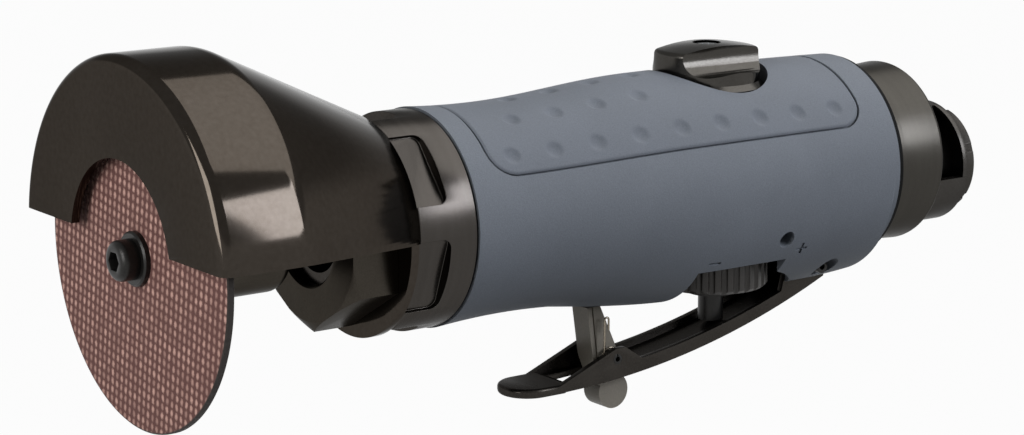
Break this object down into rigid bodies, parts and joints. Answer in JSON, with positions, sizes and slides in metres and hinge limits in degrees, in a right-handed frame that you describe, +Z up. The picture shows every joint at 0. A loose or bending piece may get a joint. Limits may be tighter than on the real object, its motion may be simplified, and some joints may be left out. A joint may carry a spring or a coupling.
{
  "type": "pneumatic cut off tool",
  "caption": "Straight hand held air motor with a small abrasive cutting wheel under a swivelling guard, a throttle lever with a lock-off catch, a reverse knob and a rear air inlet.",
  "frame": {"origin": "centre of the mouth of the tapped air inlet at the rear end of the tool", "axes": "+X out of the inlet along the tool, away from the wheel; +Z up towards the reverse knob; +Y to the tool's left seen along +X"},
  "size_m": [0.2392, 0.0878, 0.0971],
  "materials": {
    "wheel_abrasive": "resin bonded abrasive, woven glass on the face",
    "black_oxide": "black oxide steel",
    "guard_paint": "glossy brown black coating on pressed steel",
    "nose_metal": "gunmetal bronze coating",
    "nut_metal": "gunmetal coating",
    "grip_rubber": "blue grey soft overmould",
    "pad_rubber": "blue grey soft overmould, dimpled",
    "housing_aluminium": "machined",
    "bearing_steel": "ground",
    "machined_steel": "machined",
    "vane_composite": "phenolic composite",
    "valve_brass": "turned",
    "seal_rubber": "matt black",
    "knob_metal": "gunmetal gloss coating",
    "regulator_plastic": "dark grey, fluted",
    "lever_paint": "brown black satin coating on pressed steel",
    "lock_plastic": "grey brown",
    "spring_steel": "drawn wire",
    "cap_metal": "olive brown satin coating",
    "felt": "wool felt",
    "deflector_metal": "olive brown coating"
  },
  "bodies": {
    "tool_body": {"clamp_nut": "nut_metal", "nose_ring": "nose_metal", "grip_sleeve": "grip_rubber", "thumb_pad": "pad_rubber", "motor_housing": "housing_aluminium", "front_bearing_outer": "bearing_steel", "front_end_plate": "machined_steel", "motor_cylinder": "machined_steel", "rear_end_plate": "machined_steel", "rear_bearing_outer": "bearing_steel", "motor_dowel": "machined_steel", "regulator_clip": "spring_steel", "valve_bushing": "valve_brass", "bushing_seal": "seal_rubber", "throttle_spring": "spring_steel", "lever_pin": "machined_steel", "rear_gasket": "seal_rubber", "exhaust_cap": "cap_metal", "silencer_felt": "felt", "deflector_clip": "spring_steel", "inlet_bushing": "machined_steel", "inlet_screen": "machined_steel"},
    "guard": {"wheel_guard": "guard_paint"},
    "spindle": {"cutting_wheel": "wheel_abrasive", "arbor_screw": "black_oxide", "outer_washer": "black_oxide", "drive_hub": "black_oxide", "rotor": "machined_steel", "rotor_vanes": "vane_composite", "front_bearing_inner": "bearing_steel", "rear_bearing_inner": "bearing_steel"},
    "front_ball_set": {"front_bearing_balls": "bearing_steel"},
    "rear_ball_set": {"rear_bearing_balls": "bearing_steel"},
    "reverse_control": {"reverse_knob": "knob_metal", "reverse_valve": "valve_brass", "reverse_valve_seal": "seal_rubber", "knob_screw": "machined_steel"},
    "regulator": {"regulator_knob": "regulator_plastic"},
    "throttle_valve": {"throttle_plunger": "machined_steel", "plunger_seal": "seal_rubber"},
    "lever": {"throttle_lever": "lever_paint", "lock_pin": "machined_steel"},
    "lock": {"lock_lever": "lock_plastic", "lock_spring": "spring_steel"},
    "deflector": {"exhaust_deflector": "deflector_metal"}
  },
  "joints": [
    {"name": "guard_swivel", "type": "hinge", "parent": "tool_body", "child": "guard", "pos_m": [-0.1819, 0, 0.0043], "axis": [1, 0, 0], "range_deg": [-180, 180]},
    {"name": "spindle_spin", "type": "hinge", "parent": "tool_body", "child": "spindle", "pos_m": [-0.1679, 0, 0.0043], "axis": [1, 0, 0], "continuous": true},
    {"name": "front_balls_roll", "type": "hinge", "parent": "tool_body", "child": "front_ball_set", "pos_m": [-0.1678, 0, 0.0043], "axis": [1, 0, 0], "continuous": true},
    {"name": "rear_balls_roll", "type": "hinge", "parent": "tool_body", "child": "rear_ball_set", "pos_m": [-0.1029, 0, 0.0043], "axis": [1, 0, 0], "continuous": true},
    {"name": "reverse_turn", "type": "hinge", "parent": "tool_body", "child": "reverse_control", "pos_m": [-0.0777, 0, 0.0273], "axis": [0, 0, 1], "range_deg": [0, 90]},
    {"name": "regulator_turn", "type": "hinge", "parent": "tool_body", "child": "regulator", "pos_m": [-0.0753, 0, -0.0177], "axis": [0, 0, 1], "range_deg": [-60, 60]},
    {"name": "lever_squeeze", "type": "hinge", "parent": "tool_body", "child": "lever", "pos_m": [-0.0522, 0, -0.0192], "axis": [0, 1, 0], "range_deg": [0, 6.2], "stiffness_Nm_per_rad": 2, "springref_deg": -8.59},
    {"name": "lock_fold", "type": "hinge", "parent": "lever", "child": "lock", "pos_m": [-0.1093, 0, -0.0355], "axis": [0, 1, 0], "range_deg": [0, 85]},
    {"name": "valve_lift", "type": "slide", "parent": "tool_body", "child": "throttle_valve", "axis": [0, 0, 1], "range_m": [0, 0.0027], "deforming": ["throttle_spring"]},
    {"name": "deflector_swivel", "type": "hinge", "parent": "tool_body", "child": "deflector", "pos_m": [-0.0119, 0, 0], "axis": [1, 0, 0], "range_deg": [-180, 180]}
  ],
  "couplings": [
    {"joint": "lock_fold", "follows": "lever_squeeze", "ratio": 13.71},
    {"joint": "valve_lift", "follows": "lever_squeeze", "m_per_rad": 0.0238},
    {"joint": "front_balls_roll", "follows": "spindle_spin", "ratio": 0.4},
    {"joint": "rear_balls_roll", "follows": "spindle_spin", "ratio": 0.3848}
  ]
}
